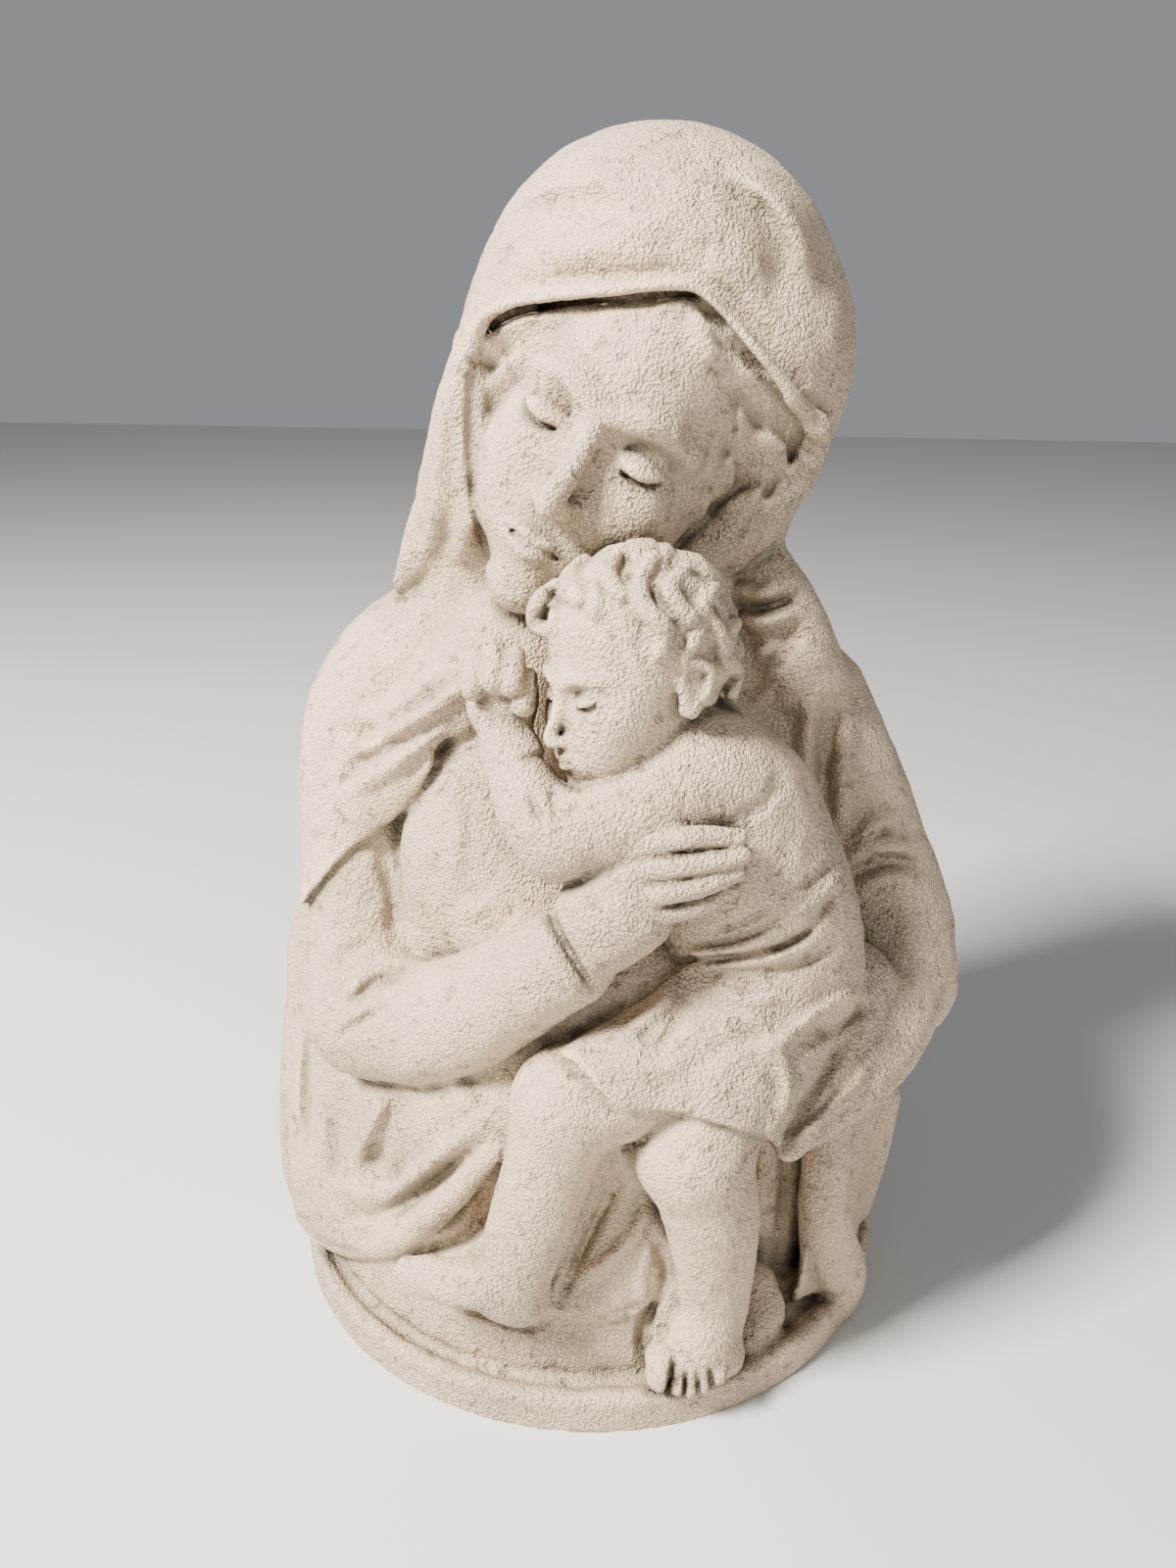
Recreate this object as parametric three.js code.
// Cast stone figure of a mother holding a child, standing on its round plate.
// Millimetres, +Z up. The viewer stands on the -Y side, the origin is the middle of the underside.
// The figure is one cast piece: plate, drum, dress, mantle, hood, mother and child hang together.

import * as THREE from 'three';

// driving sizes
const PLATE_RADIUS = 101.5;
const PLATE_HEIGHT = 12;
const PLATE_MIDDLE = 3;
const DRUM_RADIUS = 91;
const DRUM_HEIGHT = 34;
const MOTHER_HEAD = 109;
const CHILD_HEAD = 61;
const CLOTH = 2.8;
const GOWN_CLOTH = 3.6;
const FINGER = 3.7;

// reading standpoint: widths and heights were read on the upright plane through the plate's middle
const EYE_BACK = 377;
const EYE_HEIGHT = 305;

// mesh sizes
const CELL = 2.2;
const FACE_LIMIT = 8600;
const FAR = 14;

// a point read across and up on the upright plane, set at its own depth
function place(across, up, depth) {
  const nearer = 1 + depth / EYE_BACK;
  return [across * nearer, depth, EYE_HEIGHT + (up - EYE_HEIGHT) * nearer];
}

// answers only near its own box and says "far" elsewhere, which keeps the work small
function bounded(low, high, shape) {
  const [ax, ay, az] = low.map((v) => v - FAR);
  const [bx, by, bz] = high.map((v) => v + FAR);
  return (x, y, z) => {
    if (x < ax || x > bx || y < ay || y > by || z < az || z > bz) return FAR;
    return Math.min(shape(x, y, z), FAR);
  };
}

// turn that leans the crown sideways, then nods forward, then looks aside (degrees)
function turned(lean, nod, aside) {
  const [r, p, w] = [lean, nod, aside].map((a) => (a * Math.PI) / 180);
  const turn = new THREE.Matrix4().makeRotationY(r);
  turn.multiply(new THREE.Matrix4().makeRotationX(p));
  turn.multiply(new THREE.Matrix4().makeRotationZ(w));
  return turn.elements;
}

function ellipsoid(middle, half) {
  const [cx, cy, cz] = middle;
  const [a, b, c] = half;
  const low = middle.map((v, i) => v - half[i]);
  const high = middle.map((v, i) => v + half[i]);
  return bounded(low, high, (x, y, z) => {
    const u = (x - cx) / a;
    const v = (y - cy) / b;
    const w = (z - cz) / c;
    const k = Math.hypot(u, v, w) + 1e-6;
    return (k * (k - 1)) / (Math.hypot(u / a, v / b, w / c) + 1e-9);
  });
}

// Catmull-Rom curve through rows of numbers
function smoothRows(rows, steps) {
  if (rows.length < 3 || steps < 2) return rows;
  const first = rows[0].map((v, i) => 2 * v - rows[1][i]);
  const last = rows[rows.length - 1].map((v, i) => 2 * v - rows[rows.length - 2][i]);
  const all = [first, ...rows, last];
  const out = [];
  for (let n = 1; n < all.length - 2; n += 1) {
    for (let m = 0; m < steps; m += 1) {
      out.push(between(all[n - 1], all[n], all[n + 1], all[n + 2], m / steps));
    }
  }
  out.push(rows[rows.length - 1]);
  return out;
}

function between(a, b, c, d, u) {
  return b.map((v, i) => {
    const linear = c[i] - a[i];
    const square = 2 * a[i] - 5 * v + 4 * c[i] - d[i];
    const cube = 3 * v - a[i] - 3 * c[i] + d[i];
    return 0.5 * (2 * v + linear * u + square * u * u + cube * u * u * u);
  });
}

// round-sectioned member through stations [x, y, z, radius]
function limb(stations, steps = 4) {
  const rows = smoothRows(stations, steps);
  const spans = [];
  for (let n = 1; n < rows.length; n += 1) {
    const [a, b] = [rows[n - 1], rows[n]];
    const d = [b[0] - a[0], b[1] - a[1], b[2] - a[2]];
    spans.push([...a, ...d, b[3] - a[3], 1 / (d[0] ** 2 + d[1] ** 2 + d[2] ** 2 + 1e-9)]);
  }
  const low = [0, 1, 2].map((i) => Math.min(...rows.map((r) => r[i] - r[3])));
  const high = [0, 1, 2].map((i) => Math.max(...rows.map((r) => r[i] + r[3])));
  return bounded(low, high, (x, y, z) => {
    let best = FAR;
    for (const [ax, ay, az, r, dx, dy, dz, dr, inverse] of spans) {
      const px = x - ax;
      const py = y - ay;
      const pz = z - az;
      const h = Math.min(Math.max((px * dx + py * dy + pz * dz) * inverse, 0), 1);
      const gap = Math.hypot(px - dx * h, py - dy * h, pz - dz * h) - (r + dr * h);
      if (gap < best) best = gap;
    }
    return best;
  });
}

// a member whose stations are given as [across, up, depth, radius] from the standpoint
function seenLimb(stations, steps = 4) {
  return limb(stations.map(([s, t, y, r]) => [...place(s, t, y), r]), steps);
}

function softMin(a, b, k) {
  const h = Math.max(k - Math.abs(a - b), 0) / k;
  return Math.min(a, b) - h * h * k * 0.25;
}

function join(k, ...shapes) {
  return (x, y, z) => {
    let d = shapes[0](x, y, z);
    for (let n = 1; n < shapes.length; n += 1) d = softMin(d, shapes[n](x, y, z), k);
    return d;
  };
}

function cut(k, shape, tool) {
  return (x, y, z) => -softMin(-shape(x, y, z), tool(x, y, z), k);
}

function common(k, shape, other) {
  return (x, y, z) => -softMin(-shape(x, y, z), -other(x, y, z), k);
}

function grown(amount, shape) {
  return (x, y, z) => shape(x, y, z) - amount;
}

// squared distance to a span on the reading plane and the share along it
function spanOnPlane(s, t, a, b) {
  const ds = b[0] - a[0];
  const dt = b[1] - a[1];
  const h = Math.min(Math.max(((s - a[0]) * ds + (t - a[1]) * dt) / (ds * ds + dt * dt + 1e-9), 0), 1);
  return [(s - a[0] - ds * h) ** 2 + (t - a[1] - dt * h) ** 2, h];
}

// everything behind a smooth closed outline on the reading plane, between two depths
function behind(corners, front, back, steps = 3) {
  const count = corners.length;
  const ring = [];
  for (let n = 0; n < count; n += 1) {
    const four = [n - 1, n, n + 1, n + 2].map((i) => corners[(i + count) % count]);
    for (let m = 0; m < steps; m += 1) ring.push(between(...four, m / steps));
  }
  const low = [0, 1].map((i) => Math.min(...ring.map((c) => c[i])) - FAR);
  const high = [0, 1].map((i) => Math.max(...ring.map((c) => c[i])) + FAR);
  return (x, y, z) => {
    const nearer = 1 + y / EYE_BACK;
    const s = x / nearer;
    const t = EYE_HEIGHT + (z - EYE_HEIGHT) / nearer;
    if (s < low[0] || s > high[0] || t < low[1] || t > high[1]) return FAR;
    let best = Infinity;
    let inside = false;
    for (let n = 0; n < ring.length; n += 1) {
      const [a, b] = [ring[n], ring[(n + 1) % ring.length]];
      best = Math.min(best, spanOnPlane(s, t, a, b)[0]);
      const crosses = a[1] > t !== b[1] > t;
      if (crosses && s < ((b[0] - a[0]) * (t - a[1])) / (b[1] - a[1]) + a[0]) inside = !inside;
    }
    const edge = Math.sqrt(best) * nearer * (inside ? -1 : 1);
    return Math.min(Math.max(edge, y - back, front - y), FAR);
  };
}

// rise of a fold drawn on the reading plane: [across, up] points, half width, rise (minus for a groove)
function crease(path, width, rise, front = -140, back = -14) {
  const rows = smoothRows(path, 3);
  const low = [0, 1].map((i) => Math.min(...rows.map((c) => c[i])) - width);
  const high = [0, 1].map((i) => Math.max(...rows.map((c) => c[i])) + width);
  const last = rows.length - 1;
  return (x, y, z) => {
    if (y < front || y > back) return 0;
    const nearer = 1 + y / EYE_BACK;
    const s = x / nearer;
    const t = EYE_HEIGHT + (z - EYE_HEIGHT) / nearer;
    if (s < low[0] || s > high[0] || t < low[1] || t > high[1]) return 0;
    let best = width * width;
    let share = 0;
    for (let n = 0; n < last; n += 1) {
      const [d, h] = spanOnPlane(s, t, rows[n], rows[n + 1]);
      if (d < best) [best, share] = [d, (n + h) / last];
    }
    const profile = (1 - best / (width * width)) ** 2;
    const ends = Math.min(0.3 + 4 * Math.min(share, 1 - share), 1);
    const depthFade = Math.min((back - y) / 8, 1);
    return rise * profile * ends * depthFade;
  };
}

// an upright fold on the hidden side: direction in degrees round the plate, from height to height
function upright(angle, width, rise, low, high, sway = 0) {
  const start = (angle * Math.PI) / 180;
  return (x, y, z) => {
    if (y < -20 || z < low || z > high) return 0;
    const share = (z - low) / (high - low);
    const radius = Math.hypot(x, y);
    const off = Math.atan2(y, x) - start - (sway * share) / 90;
    const across = Math.abs(off) * radius;
    if (across > width) return 0;
    const ends = Math.min(4 * Math.min(share, 1 - share), 1);
    return rise * (1 - (across / width) ** 2) ** 2 * ends * Math.min((y + 20) / 20, 1);
  };
}

function carved(shape, folds) {
  return (x, y, z) => {
    let d = shape(x, y, z);
    if (d > FAR - 1 || d < -FAR) return d;
    for (const fold of folds) d -= fold(x, y, z);
    return d;
  };
}

// upright mass from rows [height, middle across, half width, front, back]
function column(rows, squareness = 2.4, backSquareness = 2.2) {
  const levels = smoothRows(rows, 5);
  const bottom = levels[0][0];
  const top = levels[levels.length - 1][0];
  const low = [Math.min(...levels.map((r) => r[1] - r[2])), Math.min(...levels.map((r) => r[3])), bottom];
  const high = [Math.max(...levels.map((r) => r[1] + r[2])), Math.max(...levels.map((r) => r[4])), top];
  return bounded(low, high, (x, y, z) => {
    const level = Math.min(Math.max(z, bottom), top);
    let n = 1;
    while (n < levels.length - 1 && levels[n][0] < level) n += 1;
    const [a, b] = [levels[n - 1], levels[n]];
    const h = Math.min(Math.max((level - a[0]) / (b[0] - a[0]), 0), 1);
    const [, middle, half, front, back] = a.map((v, i) => v + (b[i] - v) * h);
    const centre = (front + back) / 2;
    const power = y < centre ? squareness : backSquareness;
    const u = Math.abs(x - middle) / half;
    const v = Math.abs(y - centre) / (back - centre);
    const q = u ** power + v ** power + 1e-9;
    const rho = q ** (1 / power);
    const steep = Math.hypot(u ** (power - 1) / half, v ** (power - 1) / (back - centre));
    const side = ((rho - 1) * q) / (steep * rho + 1e-6);
    const over = Math.max(bottom - z, z - top);
    return over > 0 ? Math.hypot(Math.max(side, 0), over) : Math.max(side, over);
  });
}

function disc(middle, radius, bottom, top, edge) {
  const low = [middle - radius, -radius, bottom];
  const high = [middle + radius, radius, top];
  return bounded(low, high, (x, y, z) => {
    const out = Math.hypot(x - middle, y) - radius + edge;
    const over = Math.max(bottom + edge - z, z - top + edge);
    return Math.min(Math.max(out, over), 0) + Math.hypot(Math.max(out, 0), Math.max(over, 0)) - edge;
  });
}

function ring(middle, radius, height, thick) {
  return (x, y, z) => Math.hypot(Math.hypot(x - middle, y) - radius, z - height) - thick;
}

// a shape modelled round its own origin, turned and set in place
function posed(origin, turn, reach, shape) {
  const low = origin.map((v) => v - reach);
  const high = origin.map((v) => v + reach);
  return bounded(low, high, (x, y, z) => {
    const px = x - origin[0];
    const py = y - origin[1];
    const pz = z - origin[2];
    return shape(
      turn[0] * px + turn[1] * py + turn[2] * pz,
      turn[4] * px + turn[5] * py + turn[6] * pz,
      turn[8] * px + turn[9] * py + turn[10] * pz,
    );
  });
}

// plate and drum: a round plate with a raised bead, and the drum that the dress falls over
function makePlate() {
  const plate = disc(PLATE_MIDDLE, PLATE_RADIUS, -20, PLATE_HEIGHT - 1, 1.5);
  const bead = ring(PLATE_MIDDLE, PLATE_RADIUS - 2.6, PLATE_HEIGHT - 2, 2.4);
  return join(1.5, plate, bead);
}

// drum, drawn in a little above where the clothes hide it
// groove round the foot of the drum
function plateGroove(x, y, z) {
  const out = Math.hypot(x - 1.5, y) - DRUM_RADIUS - 2.4;
  return Math.hypot(out, z - PLATE_HEIGHT) - 2.2;
}

function makeDrum() {
  return column([
    [2, 0, DRUM_RADIUS, -DRUM_RADIUS, DRUM_RADIUS],
    [DRUM_HEIGHT, 0, DRUM_RADIUS - 3, 4 - DRUM_RADIUS, DRUM_RADIUS],
    [64, 0, DRUM_RADIUS - 9, 15 - DRUM_RADIUS, DRUM_RADIUS - 4],
    [84, 0, DRUM_RADIUS - 16, 26 - DRUM_RADIUS, DRUM_RADIUS - 8],
  ], 2.1);
}

// trunk and side mantle: two upright masses, the second falling from the left arm, and the
// mantle's back edge that shows beside the sleeve
function makeTrunk() {
  const trunk = column([
    [10, -2, 101, -78, 88],
    [50, -2, 101, -72, 88],
    [100, -1, 95, -56, 85],
    [150, 0, 88, -42, 79],
    [185, 0, 80, -32, 72],
    [207, 1, 66, -24, 64],
    [226, 3, 50, -18, 58],
    [246, 7, 40, -12, 56],
  ], 2.7);
  const side = column([
    [10, 46, 50, -56, 50],
    [30, 50, 51, -55, 52],
    [50, 52, 52, -54, 54],
    [70, 57, 53, -50, 50],
    [86, 60, 54, -42, 44],
    [106, 60, 51, -34, 36],
    [124, 56, 40, -24, 30],
    [138, 48, 26, -12, 24],
  ], 2.2);
  const edge = seenLimb([[-80, 156, 4, 2], [-88, 134, 4, 5], [-94, 110, 4, 7], [-96, 90, 4, 7],
    [-98.5, 70, 4, 7], [-101, 45, 4, 7.5], [-102, 20, 2, 7.5], [-99, 2, -4, 6]]);
  return join(13, join(9, trunk, side), edge);
}

// the mother's head, modelled upright round its own middle, in shares of its height
function makeHead(height, young) {
  const h = height;
  const eyeLine = young ? -0.05 : 0;
  const wide = young ? 0.35 : 0.325;
  const scaled = (rows) => rows.map((row) => row.map((v) => v * h));
  const both = (rows) => [rows, rows.map(([x, ...rest]) => [-x, ...rest])];
  const skull = ellipsoid([0, 0.05 * h, 0.1 * h], [wide * h, 0.42 * h, 0.4 * h]);
  const jaw = ellipsoid([0, -0.13 * h, -0.16 * h], [(wide - 0.055) * h, 0.25 * h, 0.31 * h]);
  const chin = ellipsoid([0, -0.28 * h, -0.42 * h], [0.09 * h, 0.08 * h, 0.075 * h]);
  const cheeks = both([[0.15, -0.25, eyeLine - 0.13, 0.1], [0.12, -0.24, eyeLine - 0.25, 0.1]])
    .map((rows) => limb(scaled(rows)));
  let head = join(0.09 * h, skull, jaw);
  head = join(0.07 * h, head, chin, ...cheeks);
  for (const side of [-1, 1]) {
    const middle = [side * 0.13 * h, -0.405 * h, (eyeLine + 0.005) * h];
    head = cut(0.07 * h, head, ellipsoid(middle, [0.085 * h, 0.055 * h, 0.05 * h]));
    const ball = [side * 0.128 * h, -0.3 * h, (eyeLine - 0.008) * h];
    head = join(0.012 * h, head, ellipsoid(ball, [0.068 * h, 0.063 * h, 0.05 * h]));
    const lid = scaled([
      [side * 0.19, -0.305, eyeLine - 0.012, 0.009],
      [side * 0.16, -0.352, eyeLine - 0.026, 0.011],
      [side * 0.125, -0.368, eyeLine - 0.032, 0.012],
      [side * 0.085, -0.355, eyeLine - 0.022, 0.01],
      [side * 0.06, -0.335, eyeLine - 0.012, 0.008],
    ]);
    head = join(0.012 * h, head, limb(lid));
    const brow = scaled([
      [side * 0.22, -0.27, eyeLine + 0.06, 0.02],
      [side * 0.13, -0.352, eyeLine + 0.088, 0.022],
      [side * 0.04, -0.372, eyeLine + 0.062, 0.02],
    ]);
    head = join(0.05 * h, head, limb(brow));
  }
  const bridge = young ? 0.385 : 0.395;
  const nose = limb(scaled([
    [0, -0.355, eyeLine + 0.05, 0.026],
    [0, -bridge, eyeLine - 0.06, 0.028],
    [0, -bridge - 0.045, eyeLine - 0.15, 0.034],
    [0, -bridge - 0.048, eyeLine - 0.18, 0.032],
  ]));
  const wings = both([[0.036, -0.39, eyeLine - 0.185, 0.026], [0.03, -0.41, eyeLine - 0.18, 0.024]])
    .map((rows) => limb(scaled(rows)));
  head = join(0.03 * h, head, join(0.02 * h, nose, ...wings));
  const mouth = eyeLine * 0.6 - 0.29;
  const muzzle = ellipsoid([0, -0.3 * h, mouth * h], [0.11 * h, 0.085 * h, 0.07 * h]);
  head = join(0.06 * h, head, muzzle);
  const upperLip = limb(scaled([
    [-0.085, -0.345, mouth + 0.0, 0.008],
    [-0.035, -0.385, mouth + 0.016, 0.017],
    [0, -0.392, mouth + 0.012, 0.017],
    [0.035, -0.385, mouth + 0.016, 0.017],
    [0.085, -0.345, mouth + 0.0, 0.008],
  ]));
  const lowerLip = limb(scaled([
    [-0.075, -0.347, mouth - 0.01, 0.009],
    [0, -0.385, mouth - 0.026, 0.022],
    [0.075, -0.347, mouth - 0.01, 0.009],
  ]));
  head = join(0.02 * h, head, upperLip);
  return join(0.014 * h, head, lowerLip);
}

// an ear: a rim round a shallow bowl, in shares of the head's height
function makeEar(height, side) {
  const h = height;
  const rim = limb([
    [side * 0.33, 0.02, -0.13, 0.03],
    [side * 0.35, 0.0, -0.04, 0.02],
    [side * 0.36, 0.0, 0.03, 0.02],
    [side * 0.37, 0.06, 0.06, 0.022],
    [side * 0.38, 0.12, 0.02, 0.022],
    [side * 0.37, 0.1, -0.07, 0.022],
    [side * 0.34, 0.04, -0.14, 0.03],
  ].map((row) => row.map((v) => v * h)));
  const bowl = ellipsoid([side * 0.335 * h, 0.05 * h, -0.03 * h], [0.035 * h, 0.07 * h, 0.1 * h]);
  return join(0.015 * h, bowl, rim);
}

function makeMotherHead() {
  const h = MOTHER_HEAD;
  const cap = ellipsoid([0, 0.06 * h, 0.1 * h], [0.35 * h, 0.43 * h, 0.43 * h]);
  const brow = ellipsoid([0, -0.42 * h, -0.06 * h], [0.38 * h, 0.4 * h, 0.5 * h]);
  const waves = (x, y, z) => 0.7 * Math.sin(0.6 * z + 0.5 * y + 1.6 * Math.sin(0.11 * x));
  const whole = join(1.5, makeHead(h, false), carved(cut(2, cap, brow), [waves]));
  const head = posed(place(9, 280, -15), turned(28, 5, -12), 0.62 * h, whole);
  const neck = seenLimb([[2, 262, -4, 23], [-8, 238, -8, 24], [-10, 214, -8, 30]]);
  const temples = join(2,
    seenLimb([[-18, 310, -34, 5], [-27, 304, -29, 6], [-32, 293, -26, 6], [-34, 280, -24, 5]]),
    seenLimb([[33, 310, -42, 4], [42, 300, -38, 5], [49, 289, -32, 5]]),
    seenLimb([[8, 312, -41, 5], [-6, 309, -38, 6.5], [-16, 303, -33, 7.5], [-24, 293, -28, 8],
      [-29, 282, -26, 7], [-32, 270, -25, 6]]),
    seenLimb([[24, 313, -46, 5], [34, 307, -44, 6.5], [44, 297, -40, 7.5], [51, 285, -34, 8],
      [51, 272, -30, 7], [46, 260, -28, 6]]));
  return join(3, join(8, head, neck), carved(temples, [waves]));
}

// hood and veil: a thick shell with an open front, its lip standing proud round the face
function makeHood() {
  const crown = ellipsoid([18, 8, 311], [53, 58, 51]);
  const veil = column([
    [214, -1, 58, -14, 58],
    [230, -1, 59, -22, 60],
    [246, 2, 57, -28, 62],
    [262, 5, 58, -38, 65],
    [288, 13, 59, -48, 67],
    [306, 17, 56, -48, 65],
    [322, 18, 50, -34, 58],
    [336, 18, 36, -18, 46],
    [344, 18, 16, 0, 30],
  ], 3.2);
  const solid = join(8, crown, veil);
  const lip = limb(drop(solid, [[-40, 298, 1.6], [-36, 306, 2.2], [-30, 311, 2.6],
    [-22, 314.5, 2.6], [-10, 316.5, 2.6], [0, 317.5, 2.6], [12, 319, 2.8], [22, 320, 3],
    [30, 318.5, 3], [38, 312, 3], [47, 303, 3], [55, 294, 3], [62, 286, 3], [67, 281, 3.2]], 1.2));
  const opening = behind([
    [-36, 300], [-30, 308], [-22, 312.5], [-8, 314.5], [8, 316.5], [22, 318], [29, 316.5],
    [37, 309.5], [46, 300.5], [55, 291], [63, 282], [60, 272], [54, 262], [48, 252],
    [41, 244], [30, 236], [10, 222], [-20, 222], [-31, 232], [-35, 250], [-38, 265], [-38, 285],
  ], -140, -28);
  return join(1.5, cut(2.5, solid, opening), lip);
}

function makeVeilFolds(veil) {
  const rims = [
    limb(drop(veil, [[67, 281, 3.2], [65.5, 273, 3.2], [61, 265, 3.2], [56, 257, 3.2],
      [51, 249, 3], [44, 241, 2.6]], -0.6)),
    limb(drop(veil, [[-32, 309, 2], [-37, 301, 2.2], [-40, 294, 2.6], [-43, 280, 2.8],
      [-45, 266, 3], [-47, 252, 3], [-52, 240, 3], [-58, 233, 2.6]], 0.6)),
  ];
  const lining = [
    seenLimb([[56, 287, -19, 8], [56, 275, -21, 8.5], [50, 263, -24, 8], [43, 252, -26, 7.5],
      [34, 244, -26, 6]]),
    seenLimb([[62, 283, -27, 6.5], [61, 272, -27, 6.5], [56, 261, -26, 6], [50, 251, -24, 5]]),
    seenLimb([[-36, 303, -30, 5], [-36, 286, -31, 5.5], [-36, 266, -29, 6], [-38, 246, -20, 6.5]]),
  ];
  const point = seenLimb([[-50, 254, -12, 5], [-54, 242, -12, 5], [-58.5, 233, -10, 3]]);
  return join(3, join(5, ...lining, point), ...rims);
}

// Stations across, up and radius, set on the surface: each is moved back along its line of sight
// by its distance to the shape until it touches, or to where it passes closest.
function drop(shape, stations, lift) {
  return smoothRows(stations, 2).map(([s, t, radius]) => {
    let depth = -128;
    let least = Infinity;
    let nearest = 0;
    while (depth < 60 && least > 0.05) {
      const gap = shape(...place(s, t, depth));
      if (gap < least) {
        least = gap;
        nearest = depth;
      }
      depth += 0.8 * Math.min(Math.max(gap, 0.2), 8);
    }
    return [...place(s, t, nearest - lift), radius];
  });
}

// shoulders, upper arms and the mother's right forearm
function makeShoulders() {
  const right = seenLimb([[-14, 222, 0, 22], [-42, 212, 0, 23], [-62, 196, -4, 22],
    [-71, 168, -10, 18.5]]);
  const left = seenLimb([[20, 222, 2, 22], [42, 212, 2, 23], [58, 202, 2, 23], [70, 178, -4, 21],
    [86, 150, -10, 20], [101, 122, -20, 20]]);
  return join(8, right, left);
}

function makeSleevedArm() {
  const upper = seenLimb([[-69, 184, -12, 17], [-73, 150, -20, 17], [-75, 112, -34, 17.5],
           [-74, 84, -47, 18.5]]);
  const fore = seenLimb([[-74, 80, -47, 18.5], [-56, 77, -60, 18], [-38, 83, -71, 16.5],
           [-20, 95, -80, 14.5], [-6, 104, -85, 13.5]]);
  return join(8, upper, fore);
}

function makeHand() {
  const palm = seenLimb([[-6, 105, -86, 11.5], [6, 114, -89, 12], [16, 122, -90, 11]]);
  const back = seenLimb([[2, 124, -88, 9], [14, 133, -90, 8.5]], 1);
  const paths = [
    [[14, 145.5, -92], [33, 149.3, -95], [50, 149.8, -93]],
    [[15, 137, -94], [34, 139.5, -97], [52, 143, -95]],
    [[15, 128.5, -95], [34, 130.5, -98], [51, 137, -95]],
    [[17, 121, -94], [33.5, 123, -96], [49, 130.8, -94]],
  ];
  const fingers = paths.map((path, n) => (
    seenLimb(path.map((point, m) => [...point, FINGER - 0.55 * m - 0.1 * n]))
  ));
  return join(1.2, join(6, palm, back), join(0.4, ...fingers));
}

// the mantle over the mother's right shoulder, its edge crossing the upper arm
function makeRightMantle(shoulders, arm) {
  const cover = behind([
    [-30, 240], [-36, 190], [-46, 181], [-52, 171], [-58, 160], [-68, 151], [-77, 145],
    [-85, 137], [-92, 128], [-98, 121], [-112, 117], [-130, 115], [-130, 250],
  ], -110, 40);
  const frontFold = seenLimb([[-34, 204, -34, 14], [-44, 190, -36, 13], [-54, 176, -33, 12.5],
    [-64, 164, -27, 11.5]]);
  return common(1.2, grown(CLOTH, join(8, shoulders, arm, frontFold)), cover);
}

// bodice between mantle and child
function makeBodice() {
  const breast = ellipsoid(place(-41, 140, -38), [19, 17, 33]);
  const chest = seenLimb([[-24, 210, -24, 22], [-28, 180, -30, 22], [-20, 130, -40, 24],
           [-10, 96, -52, 26]]);
  const flank = seenLimb([[-56, 162, -10, 14], [-60, 132, -20, 15], [-54, 104, -36, 15]]);
  const waist = seenLimb([[-34, 74, -50, 22], [0, 84, -57, 20], [22, 98, -62, 15]]);
  return join(10, breast, chest, flank, waist);
}

// the mantle over the other arm and the cloth round the hand that holds the child
function makeLeftMantle() {
  const arm = seenLimb([[68, 196, 0, 21], [80, 174, -5, 20.5], [91, 150, -10, 20],
    [102, 124, -20, 20], [108, 104, -34, 18]]);
  const lip = seenLimb([[118, 109, -28, 2.6], [124, 102, -30, 3], [126, 93, -32, 3.4],
    [123, 83, -34, 3]]);
  const gathered = seenLimb([[50, 246, -14, 7], [57, 231, -16, 10.5], [63, 217, -17, 12.5],
    [69, 203, -14, 13]]);
  return join(4, arm, lip, gathered);
}

function makeLowerFolds() {
  return join(
    3,
    seenLimb([[90, 44, -56, 7], [90, 22, -58, 7.5], [91, 2, -57, 8], [94, -14, -54, 9],
      [98, -28, -50, 10], [98, -42, -48, 8]]),
    seenLimb([[108, 50, -26, 6], [105, 28, -24, 7], [101, 4, -22, 7]]),
    seenLimb([[68, -36, -62, 7], [70, -50, -68, 8], [65, -64, -76, 7]]));
}

// the mother's lap and the dress that falls from it between the child's legs
function makeLap() {
  const lap = seenLimb([[-52, 46, -44, 26], [-20, 52, -56, 28], [20, 54, -58, 28], [54, 64, -48, 26]]);
  const fall = column([
    [18, 6, 56, -92, 0],
    [34, 6, 54, -91, 0],
    [60, 4, 54, -84, 0],
    [90, 4, 52, -71, 0],
  ], 2.2);
  return join(12, lap, fall);
}

// the cloth ends at its hem, and the drum shows below it
function trimAtHem(shape) {
  const below = behind([
    [-140, -4], [-107, -6], [-100, -15], [-90, -21], [-80, -22], [-69, -20], [-58, -12],
    [-47, -1], [-38, 8], [-32, 4], [-31, -30], [-29, -50], [-14, -52], [0, -51], [14, -50], [26, -45],
    [30, -70], [28, -130], [-140, -130],
  ], -140, 30);
  return cut(1.5, shape, below);
}

function makeHem() {
  return join(
    1.5,
    seenLimb([[-103, -6, -14, 4], [-97, -13, -30, 4.6], [-90, -18, -45, 5], [-80, -19, -57, 5.4],
      [-70, -17, -65, 5.4], [-60, -9, -72, 5], [-50, 1, -77, 4.6], [-41, 12, -80, 4],
      [-32, 22, -83, 3]]),
    seenLimb([[-30, -52, -82, 2], [-14, -52, -86, 2.4], [0, -51, -87.5, 2.4], [15, -50, -87, 2.4],
      [27, -45, -86, 2]]));
}

// the child
function makeChildTrunk() {
  return join(8,
    seenLimb([[34, 172, -62, 22], [46, 152, -61, 27], [58, 126, -60, 28], [64, 104, -60, 27]]),
    seenLimb([[24, 186, -66, 12], [20, 180, -66, 13]], 1));
}

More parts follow.
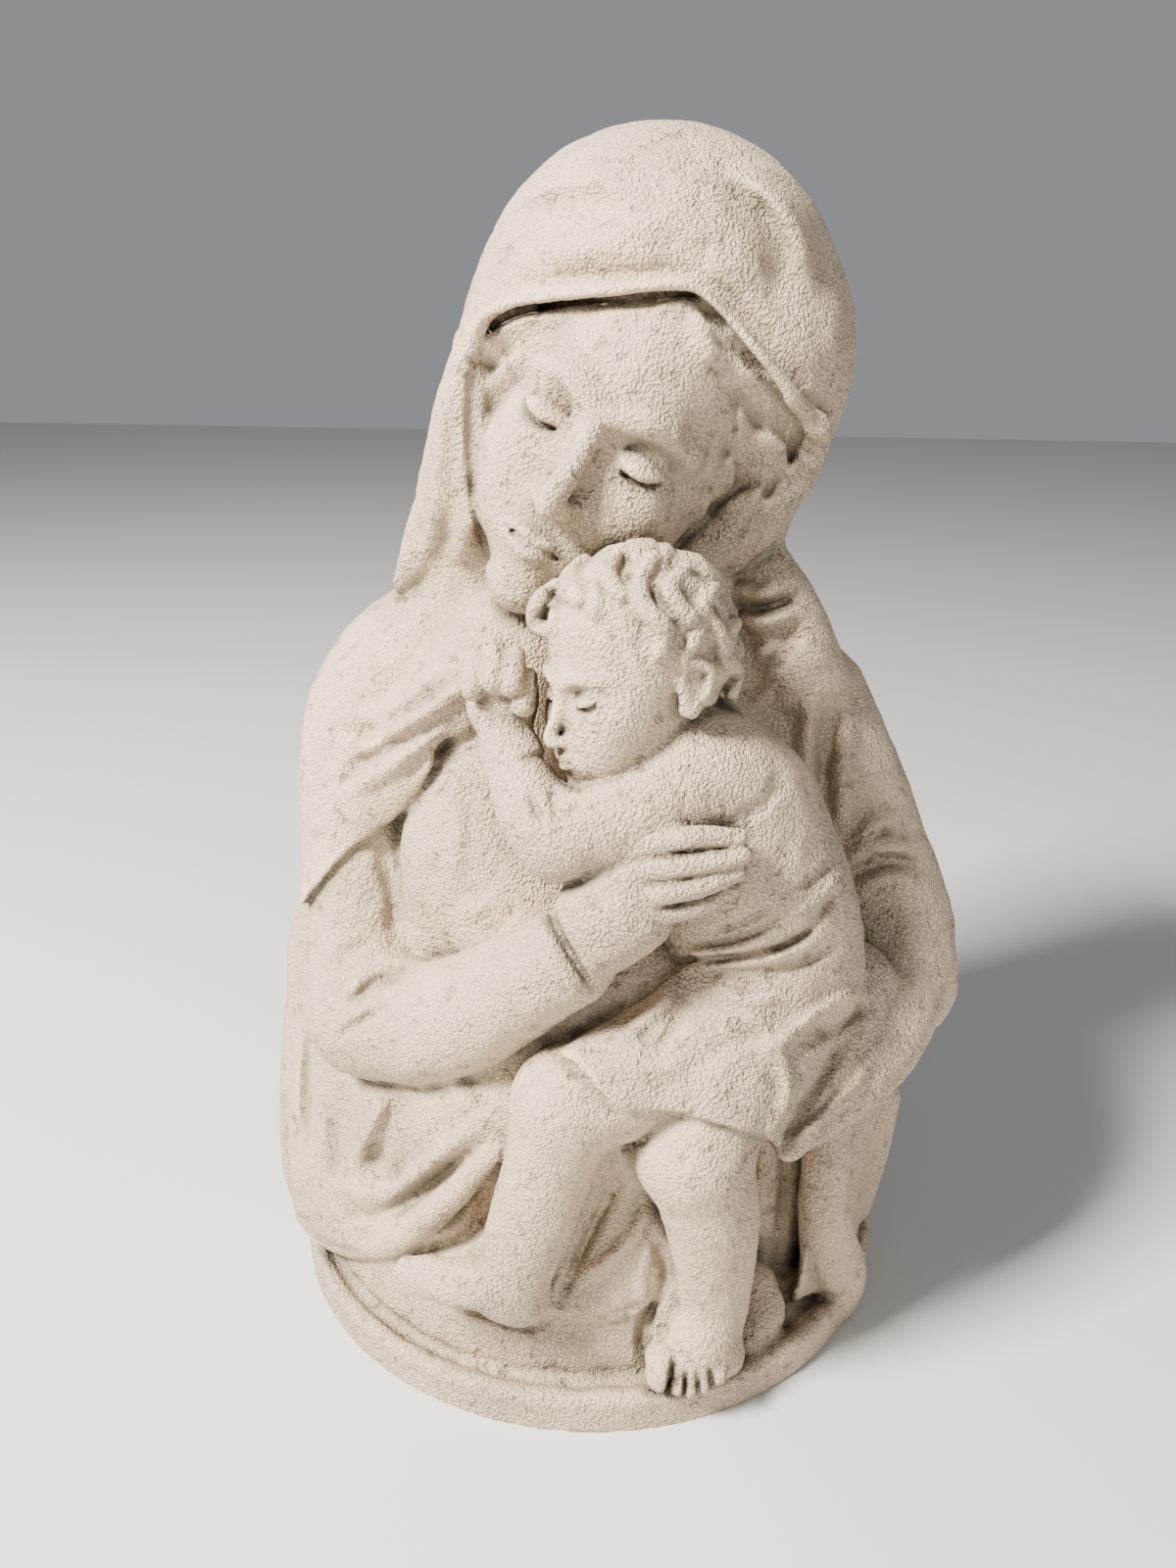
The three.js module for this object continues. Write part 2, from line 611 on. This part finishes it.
function makeChildArm() {
  const upper = seenLimb([[50, 160, -62, 19], [38, 170, -72, 16], [22, 163, -81, 13.5],
    [6, 153, -85, 12], [-8, 150, -85, 11]]);
  const fore = seenLimb([[-9, 149, -85, 11], [-17, 158, -82, 10], [-22, 170, -77, 8.5],
    [-26, 182, -71, 7.5]]);
  const fist = ellipsoid(place(-28, 196, -67), [9.5, 9, 12]);
  const knuckles = [[-36, 208], [-30, 211], [-24, 210], [-20, 203]].map(([s, t]) => seenLimb([
    [s, t, -71, 3], [s - 1, t - 9, -76, 3.2],
  ], 1));
  return join(2, join(5, upper, fore), join(1.5, fist, ...knuckles));
}

function makeChildHead() {
  const h = CHILD_HEAD;
  const cap = ellipsoid([0, 0.06 * h, 0.12 * h], [0.37 * h, 0.43 * h, 0.41 * h]);
  const brow = ellipsoid([0, -0.46 * h, -0.06 * h], [0.42 * h, 0.42 * h, 0.42 * h]);
  const jowl = ellipsoid([0, -0.2 * h, -0.5 * h], [0.6 * h, 0.36 * h, 0.44 * h]);
  const curls = (x, y, z) => {
    const a = Math.sin(0.42 * z + 1.8 * Math.sin(0.27 * y + 0.15 * x));
    const b = Math.sin(0.4 * y + 0.25 * x + 1.8 * Math.sin(0.3 * z));
    return 0.9 * a * b + 0.4 * a;
  };
  const hair = carved(cut(1.5, cut(2, cap, brow), jowl), [curls]);
  const whole = join(1, makeHead(h, true), makeEar(h, 1), makeEar(h, -1), hair);
  const head = posed(place(14, 207, -68), turned(-6, -3, -58), 0.66 * h, whole);
  const locks = [
    [[-11, 233, 1.8], [-16, 228, 2.4], [-17, 221, 2.4], [-12, 219, 2], [-11, 224, 1.6]],
    [[-2, 241, 1.8], [-7, 235, 2.4], [-4, 229, 2]],
    [[9, 244, 1.8], [5, 237, 2.6], [9, 230, 2]],
    [[19, 242, 1.8], [15, 234, 2.6], [17, 226, 2.8], [23, 220, 2.6], [22, 212, 2]],
    [[29, 239, 1.8], [24, 232, 2.6], [28, 225, 2.8], [34, 221, 2.4], [32, 215, 1.8]],
    [[38, 233, 1.8], [34, 226, 2.6], [39, 220, 2.6], [43, 215, 2]],
    [[45, 222, 1.8], [41, 213, 2.4], [46, 207, 2.4], [45, 199, 2]],
  ].map((rows) => limb(drop(head, rows, 0.3)));
  return join(1.2, head, ...locks);
}

function makeChildLegs() {
  const near = join(
    5, seenLimb([[40, 70, -74, 17], [18, 56, -84, 16], [-4, 46, -88, 15]]),
    seenLimb([[-6, 45, -88, 15], [-11, 22, -90, 13], [-16, 2, -91, 12.6], [-22, -20, -93, 11.5],
      [-26, -37, -94, 10]]));
  const nearFoot = join(
    2.5, seenLimb([[-23, -43, -95, 8.6], [-36, -38, -98, 7.6], [-49, -37, -96, 6.6],
      [-58, -35, -93, 5.2]]),
    seenLimb([[-57, -31, -92, 3.6], [-66, -31, -90, 3.4]], 1),
    seenLimb([[-57, -38, -94, 3], [-64, -39, -92, 2.8]], 1));
  const far = join(
    5, seenLimb([[60, 66, -72, 18], [47, 46, -84, 17.5], [41, 26, -89, 16.5]]),
    seenLimb([[42, 24, -89, 15.5], [48, 2, -88, 14.4], [51, -20, -85, 12.4],
      [51, -40, -82, 11.6]]));
  const farFoot = join(
    4, seenLimb([[50, -46, -82, 11.5], [48, -60, -87, 11.5], [46, -70, -90, 9.5]]),
    seenLimb([[35, -73, -92, 6.5], [57, -70, -89, 6.5]], 1));
  const toes = [[33, -81, 4.6], [40, -85.6, 3.2], [45.4, -87, 3], [50.4, -85.5, 2.8],
    [55.6, -81.5, 2.6]]
    .map(([s, t, r]) => seenLimb([[s + 1, t + 9, -94, r], [s, t, -98, r]], 1));
  return [join(3, near, nearFoot), join(0.4, join(3, far, farFoot), ...toes)];
}

// the child's gown below the waist, stretched over both thighs to a hem at the knees
function makeGown(legs) {
  const body = seenLimb([[58, 100, -60, 26], [52, 78, -66, 27], [46, 62, -72, 22]]);
  const over = grown(GOWN_CLOTH, join(9, ...legs, body));
  const sheet = behind([
    [-8, 67], [12, 82], [28, 94], [40, 104], [70, 106], [90, 100], [96, 78], [88, 50], [79, 25],
    [72, 27], [66, 33], [57, 35], [44, 39], [34, 42], [25, 43], [17, 41], [8, 48], [-3, 62],
  ], -140, -30);
  const gathers = seenLimb([[92, 96, -56, 13], [86, 78, -66, 13.5], [81, 60, -74, 12],
    [77, 44, -81, 8.5], [75, 32, -86, 4.5], [75, 26, -88, 3]]);
  const wrap = seenLimb([[110, 96, -42, 14], [104, 78, -56, 14.5], [96, 60, -68, 12],
    [86, 43, -78, 7.5], [78, 30, -86, 3.4]]);
  return join(2.5, common(0.8, over, sheet), join(5, gathers, wrap));
}

// folds raised on the cloth or cut into it: path, half width, rise (minus for a groove)
const MANTLE_FOLDS = [
  [[[-80, 185], [-70, 184], [-62, 181], [-54, 185], [-46, 189]], 4.5, -1.8],
  [[[-80, 167], [-71, 175], [-62, 180], [-54, 184]], 4.6, -2],
  [[[-60, 168], [-55, 175], [-48, 181], [-43, 186]], 4.2, -1.6],
  [[[-70, 190], [-62, 194], [-54, 199], [-46, 204]], 5, 2],
  [[[-78, 179], [-70, 180], [-62, 185]], 4.6, 1.8],
  [[[-80, 163], [-68, 170], [-57, 179], [-47, 186]], 5, 2],
  [[[-62, 184], [-52, 191], [-44, 197], [-38, 200]], 5, 3],
  [[[-44, 168], [-43, 150], [-46, 130]], 5, 1.2],
  [[[-42, 124], [-38, 120], [-32, 126]], 4, 2],
  [[[64, 220], [58, 209], [50, 198]], 5, -3],
  [[[60, 210], [56, 203], [52, 194]], 4, 2],
  [[[71, 199], [70, 184], [72, 166]], 5, 3],
  [[[77, 196], [76, 176], [78, 154]], 5, -2.6],
  [[[84, 192], [83, 172], [86, 152]], 5, 3],
  [[[44, 234], [52, 231], [61, 235]], 4, 2.4],
  [[[44, 229], [53, 227], [63, 230]], 3.4, -2.6],
  [[[45, 224], [55, 223], [64, 226]], 4, 2.2],
  [[[46, 218], [54, 217], [62, 220]], 3.4, -1.8],
  [[[86, 141], [97, 148], [112, 147]], 5, 3],
  [[[88, 129], [100, 136], [114, 134]], 5, 2.8],
  [[[87, 135], [98, 142], [112, 141]], 5, -1.8],
  [[[89, 147], [95, 155], [103, 158]], 4.5, 2],
  [[[83, 150], [88, 158], [94, 167]], 6, -2],
  [[[95, 44], [101, 56], [107, 67]], 4, -2],
  [[[88, 96], [101, 103], [114, 104]], 5, 1.4],
  [[[-60, 48], [-66, 37], [-73, 25], [-79, 13]], 8, -2],
  [[[-72, 46], [-78, 32], [-84, 16]], 5, 2.6],
  [[[-60, 36], [-64, 24], [-68, 14]], 4.5, -1.2],
  [[[-88, 46], [-89, 28], [-90, 10]], 6, -2.4],
  [[[-90, 0], [-83, -6], [-74, -6], [-64, 2], [-54, 12], [-44, 22]], 5, -2],
  [[[-88, 8], [-80, 3], [-70, 4], [-58, 14], [-47, 26], [-37, 35]], 6.5, 3],
  [[[-96, 80], [-99, 50], [-100, 24]], 4, -2],
  [[[-50, 66], [-46, 52], [-40, 40]], 6, 1.6],
  [[[2, -34], [12, -24], [22, -10], [27, 2]], 5, 2.6],
  [[[-6, -30], [3, -14], [10, 4]], 6, -2],
  [[[8, 24], [10, 14], [11, 2]], 6, -2.4],
  [[[25, -48], [24, -32], [28, -14]], 4, 2],
  [[[-24, 334], [-16, 338], [-4, 340], [9, 338]], 6, -1.5],
  [[[-20, 345], [-6, 347], [10, 345]], 7, 1.8],
  [[[-27, 330], [-24, 322], [-18, 317]], 5, -2],
  [[[-14, 330], [-2, 330], [10, 333]], 6, 1.4],
  [[[40, 349], [50, 342], [57, 333], [61, 322]], 5, 2.2],
  [[[34, 345], [44, 338], [50, 329], [53, 318]], 6, -2.2],
  [[[18, 331], [26, 328], [34, 328]], 6, -1.6],
];

const SLEEVE_FOLDS = [
  [[[-84, 86], [-78, 95], [-70, 100], [-58, 102]], 4.5, 2],
  [[[-85, 80], [-78, 88], [-70, 93], [-60, 94]], 4, -2],
  [[[-86, 74], [-78, 82], [-70, 86]], 4, 1.4],
  [[[-90, 96], [-82, 104], [-74, 108]], 4, -1.4],
  [[[-70, 148], [-66, 126], [-66, 110]], 4, -1.6],
  [[[-20, 118], [-16, 106], [-10, 94], [-6, 88]], 3.4, 1],
  [[[-30, 110], [-27, 98], [-22, 84]], 3.4, -0.8],
];

const CHILD_FOLDS = [
  [[[28, 97], [44, 98], [60, 99.5], [74, 103], [86, 111]], 4.4, -2.2],
  [[[50, 156], [58, 162], [62, 170]], 4, -1],
];

const GOWN_FOLDS = [
  [[[98, 87], [90, 82], [80, 73]], 6, -2.6],
  [[[93, 77], [87, 64], [81, 50], [76, 38], [74, 30]], 6, -2.4],
  [[[98, 93], [88, 88], [76, 78], [68, 68]], 5, 2.4],
  [[[68, 74], [73, 58], [74, 46], [70, 34]], 4.5, 2.2],
  [[[104, 68], [97, 54], [88, 41], [80, 32]], 4, 1.6],
  [[[30, 96], [26, 84], [14, 74]], 4, 1.8],
  [[[34, 92], [33, 80], [26, 66]], 4, -1.8],
  [[[40, 62], [52, 70], [64, 76]], 6, -1.4],
  [[[12, 60], [24, 58], [38, 64]], 5, 1.2],
  [[[56, 84], [64, 76], [66, 64]], 4, 1.4],
  [[[48, 92], [58, 88], [70, 90]], 4, 1.2],
];

const BACK_FOLDS = [
  [28, 15, 4.5, 30, 190, 6],
  [50, 14, 5, 12, 215, 4],
  [69, 15, 4.5, 20, 200, 2],
  [88, 15, 5, 12, 225, 0],
  [108, 14, 4.5, 24, 205, -3],
  [129, 15, 5, 12, 215, -5],
  [150, 15, 4.5, 30, 190, -6],
];

function front(rows) {
  return rows.map(([path, width, rise]) => crease(path, width, rise));
}

// the dark gap between the child's far leg and the mantle's folds, above the plate's top
function makeRecess() {
  const gap = behind([
    [64, 34], [81, 36], [83, 12], [84, -12], [83, -36], [74, -60], [62, -64], [58, -40],
    [58, 0],
  ], -140, -40);
  return (x, y, z) => Math.max(gap(x, y, z), PLATE_HEIGHT + 2 - z);
}

// two upright folds of the dress in the shade of the gap
function makeRecessFolds() {
  return join(3,
    seenLimb([[67, 36, -46, 5], [68, 6, -45, 5.5], [66, -26, -45, 5], [63, -50, -50, 5]]),
    seenLimb([[78, 34, -44, 5], [78, 4, -43, 5], [75, -30, -43, 5.5], [71, -54, -46, 5]]));
}

function makeFigure() {
  const shoulders = makeShoulders();
  const sleeve = makeSleevedArm();
  const legs = makeChildLegs();
  const drape = join(5, makeTrunk(), makeLap(), makeBodice());
  let body = join(3, join(6, drape, shoulders), makeLeftMantle());
  body = join(2, body, makeRightMantle(shoulders, sleeve));
  body = join(4, body, makeHood());
  body = carved(body, [...front(MANTLE_FOLDS), ...BACK_FOLDS.map((row) => upright(...row))]);
  body = join(2.5, trimAtHem(body), makeHem());
  body = join(3, cut(3, join(2, body, makeDrum()), makeRecess()), makeRecessFolds());
  body = cut(0.8, join(1, body, makePlate()), plateGroove);
  body = join(2.5, body, makeLowerFolds());
  body = join(2.5, body, makeVeilFolds(body));
  body = join(2, body, makeMotherHead());
  body = join(1.5, body, carved(sleeve, front(SLEEVE_FOLDS)));
  const child = carved(join(9, makeChildTrunk(), makeChildArm()), front(CHILD_FOLDS));
  body = join(1.2, join(1.5, body, child), makeChildHead());
  body = join(1.5, body, ...legs);
  body = join(1.5, body, carved(makeGown(legs), front(GOWN_FOLDS)));
  body = join(1, body, makeHand());
  return (x, y, z) => Math.max(body(x, y, z), -z);
}

// mesh of the figure

const LOW = [-118, -114, -6];
const HIGH = [134, 106, 372];

// six tetrahedra of a cube, all round its main diagonal; corners are numbered by their bits x, y, z
const TETRAHEDRA = [[1, 3], [3, 2], [2, 6], [6, 4], [4, 5], [5, 1]].map(([a, b]) => [0, a, b, 7]);

// cubes of the finest size that the surface may pass through, found by halving coarse cubes
function surfaceCubes(shape, cell) {
  let size = cell * 8;
  let cubes = [];
  const count = LOW.map((v, i) => Math.ceil((HIGH[i] - v) / size));
  for (let i = 0; i < count[0]; i += 1) {
    for (let j = 0; j < count[1]; j += 1) {
      for (let k = 0; k < count[2]; k += 1) cubes.push([i, j, k]);
    }
  }
  for (;;) {
    const half = size / 2;
    cubes = cubes.filter(([i, j, k]) => {
      const d = shape(LOW[0] + i * size + half, LOW[1] + j * size + half, LOW[2] + k * size + half);
      return Math.abs(d) < size * 2.2;
    });
    if (size <= cell * 1.001) return cubes;
    size = half;
    cubes = cubes.flatMap(([i, j, k]) => [0, 1, 2, 3, 4, 5, 6, 7].map((c) => (
      [2 * i + (c & 1), 2 * j + ((c >> 1) & 1), 2 * k + (c >> 2)])));
  }
}

// closed triangle mesh of the shape by marching through tetrahedra
function marched(shape, cell) {
  const row = 1024;
  const values = new Map();
  const keyOf = (i, j, k) => (i * row + j) * row + k;
  const valueAt = (i, j, k) => {
    const key = keyOf(i, j, k);
    let v = values.get(key);
    if (v === undefined) {
      v = shape(LOW[0] + i * cell, LOW[1] + j * cell, LOW[2] + k * cell);
      if (v === 0) v = 1e-7;
      values.set(key, v);
    }
    return v;
  };
  const points = [];
  const made = new Map();
  const crossing = (a, b) => {
    const [p, q] = a.key < b.key ? [a, b] : [b, a];
    const step = (q.i - p.i) + 2 * (q.j - p.j) + 4 * (q.k - p.k);
    const key = p.key * 16 + step + 8;
    let n = made.get(key);
    if (n === undefined) {
      const h = Math.min(Math.max(p.v / (p.v - q.v), 0.04), 0.96);
      n = points.length / 3;
      points.push(
        LOW[0] + (p.i + (q.i - p.i) * h) * cell,
        LOW[1] + (p.j + (q.j - p.j) * h) * cell,
        LOW[2] + (p.k + (q.k - p.k) * h) * cell,
      );
      made.set(key, n);
    }
    return n;
  };
  const faces = [];
  const cubes = surfaceCubes(shape, cell);
  const known = new Set(cubes.map(([i, j, k]) => keyOf(i, j, k)));
  for (let n = 0; n < cubes.length; n += 1) {
    const [i, j, k] = cubes[n];
    const corner = [];
    for (let c = 0; c < 8; c += 1) {
      const [x, y, z] = [i + (c & 1), j + ((c >> 1) & 1), k + (c >> 2)];
      corner.push({ i: x, j: y, k: z, key: keyOf(x, y, z), v: valueAt(x, y, z) });
    }
    // the surface runs on into every neighbour whose shared side it crosses
    for (const axis of [0, 1, 2]) {
      for (const way of [0, 1]) {
        const side = corner.filter((_, c) => ((c >> axis) & 1) === way);
        const crossed = side.some((c) => c.v < 0) && side.some((c) => c.v >= 0);
        const next = [i, j, k].map((v, m) => v + (m === axis ? 2 * way - 1 : 0));
        if (crossed && !known.has(keyOf(...next))) {
          known.add(keyOf(...next));
          cubes.push(next);
        }
      }
    }
    for (const four of TETRAHEDRA) {
      const inside = four.map((c) => corner[c]).filter((c) => c.v < 0);
      const outside = four.map((c) => corner[c]).filter((c) => c.v >= 0);
      if (inside.length === 0 || outside.length === 0) continue;
      let loop;
      if (inside.length === 1) loop = outside.map((c) => crossing(inside[0], c));
      else if (outside.length === 1) loop = inside.map((c) => crossing(c, outside[0]));
      else {
        loop = [crossing(inside[0], outside[0]), crossing(inside[0], outside[1]),
          crossing(inside[1], outside[1]), crossing(inside[1], outside[0])];
      }
      const away = [0, 1, 2].map((n) => {
        const name = ['i', 'j', 'k'][n];
        return outside[0][name] - inside[0][name];
      });
      const [a, b, c] = loop.map((n) => [points[3 * n], points[3 * n + 1], points[3 * n + 2]]);
      const normal = crossOf(a, b, c);
      if (normal[0] * away[0] + normal[1] * away[1] + normal[2] * away[2] < 0) loop.reverse();
      for (let n = 1; n < loop.length - 1; n += 1) faces.push(loop[0], loop[n], loop[n + 1]);
    }
  }
  return { points, faces };
}

function crossOf(a, b, c) {
  const [ux, uy, uz] = [b[0] - a[0], b[1] - a[1], b[2] - a[2]];
  const [vx, vy, vz] = [c[0] - a[0], c[1] - a[1], c[2] - a[2]];
  return [uy * vz - uz * vy, uz * vx - ux * vz, ux * vy - uy * vx];
}

// sum of squared distances to planes, kept as ten numbers for each corner
function addPlane(q, at, a, b, c, d, weight) {
  const terms = [a * a, a * b, a * c, a * d, b * b, b * c, b * d, c * c, c * d, d * d];
  for (let n = 0; n < 10; n += 1) q[at + n] += terms[n] * weight;
}

function planeError(q, [x, y, z]) {
  return q[0] * x * x + 2 * q[1] * x * y + 2 * q[2] * x * z + 2 * q[3] * x + q[4] * y * y
    + 2 * q[5] * y * z + 2 * q[6] * y + q[7] * z * z + 2 * q[8] * z + q[9];
}

// the point with the least error, drawn slightly to the middle of the edge
function bestPoint(q, middle, pull) {
  const a = q[0] + pull;
  const d = q[4] + pull;
  const f = q[7] + pull;
  const [b, c, e] = [q[1], q[2], q[5]];
  const r = [pull * middle[0] - q[3], pull * middle[1] - q[6], pull * middle[2] - q[8]];
  const [m0, m1, m2] = [d * f - e * e, c * e - b * f, b * e - c * d];
  const size = a * m0 + b * m1 + c * m2;
  if (Math.abs(size) < 1e-12) return middle;
  const [m4, m5, m8] = [a * f - c * c, b * c - a * e, a * d - b * b];
  return [
    (m0 * r[0] + m1 * r[1] + m2 * r[2]) / size,
    (m1 * r[0] + m4 * r[1] + m5 * r[2]) / size,
    (m2 * r[0] + m5 * r[1] + m8 * r[2]) / size,
  ];
}

// a heap of edges, cheapest first
class Heap {
  constructor() {
    this.items = [];
  }

  push(item) {
    const { items } = this;
    let n = items.length;
    items.push(item);
    while (n > 0) {
      const up = (n - 1) >> 1;
      if (items[up].cost <= item.cost) break;
      items[n] = items[up];
      n = up;
    }
    items[n] = item;
  }

  pop() {
    const { items } = this;
    const top = items[0];
    const item = items.pop();
    const count = items.length;
    if (count === 0) return top;
    let n = 0;
    for (;;) {
      let down = 2 * n + 1;
      if (down >= count) break;
      if (down + 1 < count && items[down + 1].cost < items[down].cost) down += 1;
      if (items[down].cost >= item.cost) break;
      items[n] = items[down];
      n = down;
    }
    items[n] = item;
    return top;
  }
}

// joins edges, least change first, until few enough faces are left
function simplified({ points, faces }, limit) {
  const count = points.length / 3;
  const spot = Float64Array.from(points);
  const planes = new Float64Array(count * 10);
  const around = Array.from({ length: count }, () => []);
  const alive = new Uint8Array(faces.length / 3).fill(1);
  const stamp = new Int32Array(count);
  const corner = (v) => [spot[3 * v], spot[3 * v + 1], spot[3 * v + 2]];
  for (let f = 0; f < faces.length; f += 3) {
    const trio = [faces[f], faces[f + 1], faces[f + 2]];
    const normal = crossOf(...trio.map(corner));
    const size = Math.hypot(...normal) + 1e-12;
    const [a, b, c] = normal.map((v) => v / size);
    const [x, y, z] = corner(trio[0]);
    for (const v of trio) {
      addPlane(planes, v * 10, a, b, c, -(a * x + b * y + c * z), size / 6);
      around[v].push(f / 3);
    }
  }
  const neighbours = (v) => {
    const set = new Set();
    for (const f of around[v]) for (let n = 0; n < 3; n += 1) set.add(faces[3 * f + n]);
    set.delete(v);
    return set;
  };
  const heap = new Heap();
  const offer = (a, b) => {
    const q = Array.from({ length: 10 }, (_, n) => planes[a * 10 + n] + planes[b * 10 + n]);
    const [p, r] = [corner(a), corner(b)];
    const middle = p.map((v, n) => (v + r[n]) / 2);
    const length = (p[0] - r[0]) ** 2 + (p[1] - r[1]) ** 2 + (p[2] - r[2]) ** 2;
    const point = bestPoint(q, middle, (q[0] + q[4] + q[7]) * 1e-3 + 1e-9);
    if (point[2] < 0.02) point[2] = 0;
    const cost = Math.max(planeError(q, point), 0) + length * (q[0] + q[4] + q[7]) * 2e-5;
    heap.push({ cost, a, b, point, stamps: stamp[a] + stamp[b] });
  };
  for (let v = 0; v < count; v += 1) for (const w of neighbours(v)) if (v < w) offer(v, w);
  const flips = (v, other, point) => around[v].some((f) => {
    const trio = [faces[3 * f], faces[3 * f + 1], faces[3 * f + 2]];
    if (trio.includes(other)) return false;
    const before = crossOf(...trio.map(corner));
    const after = crossOf(...trio.map((w) => (w === v ? point : corner(w))));
    const dot = before[0] * after[0] + before[1] * after[1] + before[2] * after[2];
    return dot < 0.25 * Math.hypot(...before) * Math.hypot(...after) || Math.hypot(...after) < 1e-3;
  });
  let left = faces.length / 3;
  while (left > limit && heap.items.length > 0) {
    const { a, b, point, stamps } = heap.pop();
    if (stamps !== stamp[a] + stamp[b] || !around[a].length || !around[b].length) continue;
    const nearA = neighbours(a);
    if (!nearA.has(b)) continue;
    let shared = 0;
    for (const v of neighbours(b)) if (nearA.has(v)) shared += 1;
    if (shared !== 2 || flips(a, b, point) || flips(b, a, point)) continue;
    for (let n = 0; n < 3; n += 1) spot[3 * a + n] = point[n];
    for (let n = 0; n < 10; n += 1) planes[a * 10 + n] += planes[b * 10 + n];
    for (const f of around[b]) {
      const trio = [faces[3 * f], faces[3 * f + 1], faces[3 * f + 2]];
      if (trio.includes(a)) {
        alive[f] = 0;
        left -= 1;
        for (const v of trio) if (v !== b) around[v] = around[v].filter((g) => g !== f);
      } else {
        faces[3 * f + trio.indexOf(b)] = a;
        around[a].push(f);
      }
    }
    around[b] = [];
    stamp[a] += 1;
    stamp[b] += 1;
    for (const w of neighbours(a)) offer(a, w);
  }
  const number = new Map();
  const outPoints = [];
  const outFaces = [];
  for (let f = 0; f < alive.length; f += 1) {
    if (!alive[f]) continue;
    for (let n = 0; n < 3; n += 1) {
      const v = faces[3 * f + n];
      if (!number.has(v)) {
        number.set(v, number.size);
        outPoints.push(...corner(v));
      }
      outFaces.push(number.get(v));
    }
  }
  return { points: outPoints, faces: outFaces };
}

// the faces joined to the largest shell; specks closed off inside a deep fold are left out
function largestShell({ points, faces }) {
  const parent = Int32Array.from({ length: points.length / 3 }, (_, n) => n);
  const topOf = (v) => {
    let top = v;
    while (parent[top] !== top) top = parent[top];
    parent[v] = top;
    return top;
  };
  for (let f = 0; f < faces.length; f += 3) {
    parent[topOf(faces[f + 1])] = topOf(faces[f]);
    parent[topOf(faces[f + 2])] = topOf(faces[f]);
  }
  const sizes = new Map();
  for (const v of faces) sizes.set(topOf(v), (sizes.get(topOf(v)) || 0) + 1);
  const [[largest]] = [...sizes].sort((a, b) => b[1] - a[1]);
  return { points, faces: faces.filter((v) => topOf(v) === largest) };
}

const castStone = new THREE.MeshStandardMaterial({
  name: 'cast_stone',
  color: new THREE.Color('#b9a08c'),
  roughness: 0.93,
  metalness: 0,
});

const surface = simplified(largestShell(marched(makeFigure(), CELL)), FACE_LIMIT);
const geometry = new THREE.BufferGeometry();
geometry.setAttribute('position', new THREE.Float32BufferAttribute(surface.points, 3));
geometry.setIndex(surface.faces);
geometry.computeVertexNormals();

const statue = new THREE.Mesh(geometry, castStone);
statue.name = 'mother_and_child_statue';

const figure = new THREE.Group();
figure.add(statue);

export default figure;
